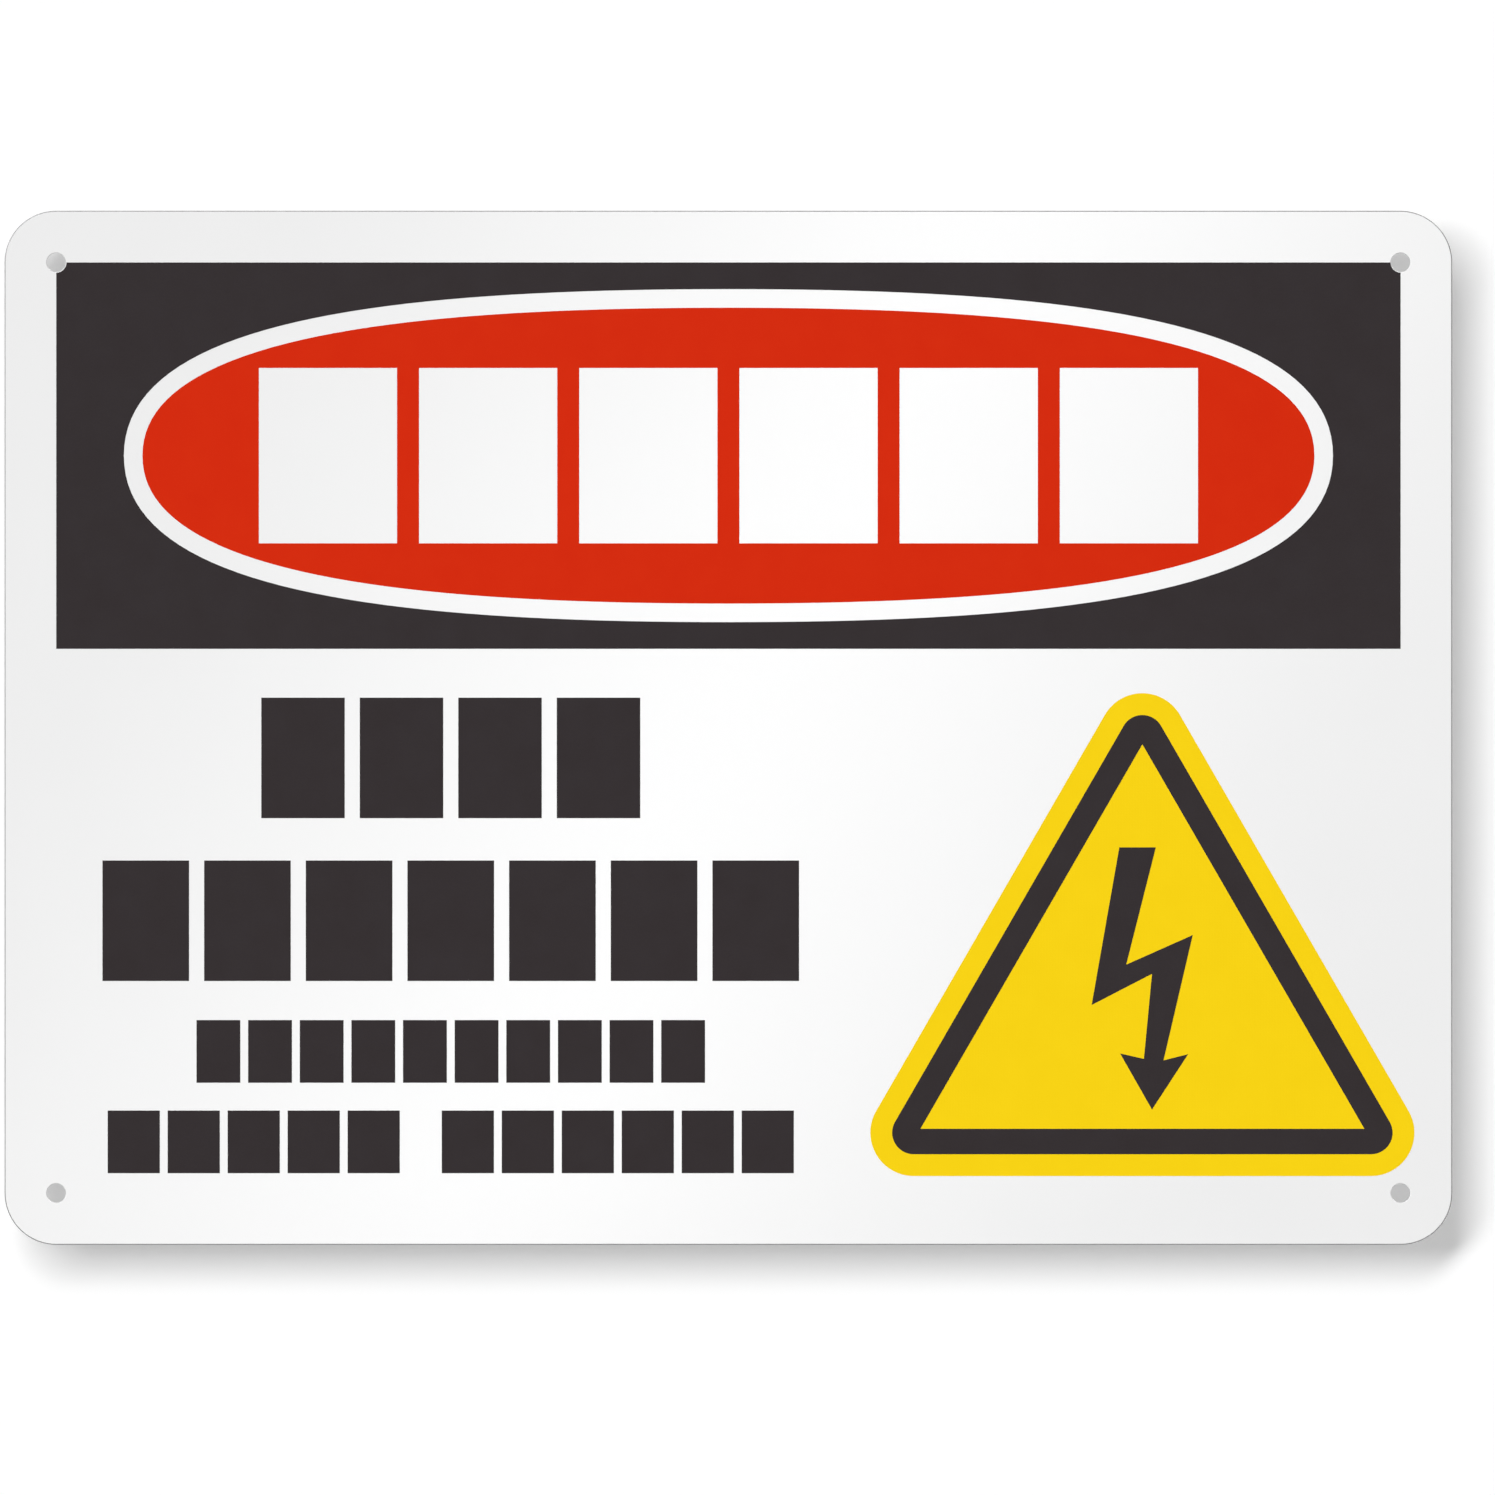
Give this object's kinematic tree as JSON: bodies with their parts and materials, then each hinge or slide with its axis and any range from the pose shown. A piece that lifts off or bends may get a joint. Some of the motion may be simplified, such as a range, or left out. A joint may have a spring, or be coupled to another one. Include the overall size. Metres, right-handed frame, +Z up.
{
  "type": "high voltage warning sign",
  "caption": "Flat aluminium safety sign with rounded corners, a printed header and ringed oval, a bolt-in-triangle symbol and a fixing hole near each corner.",
  "frame": {"origin": "centre of the sheet's back face, which lies against the wall, fence or cabinet", "axes": "+Z up, +X along the long side to the reader's right, -Y out of the printed face, +Y into the wall"},
  "size_m": [0.3556, 0.0011, 0.254],
  "materials": {
    "printed_aluminium": "satin"
  },
  "bodies": {
    "root": {"sign_panel": "printed_aluminium"}
  },
  "joints": []
}
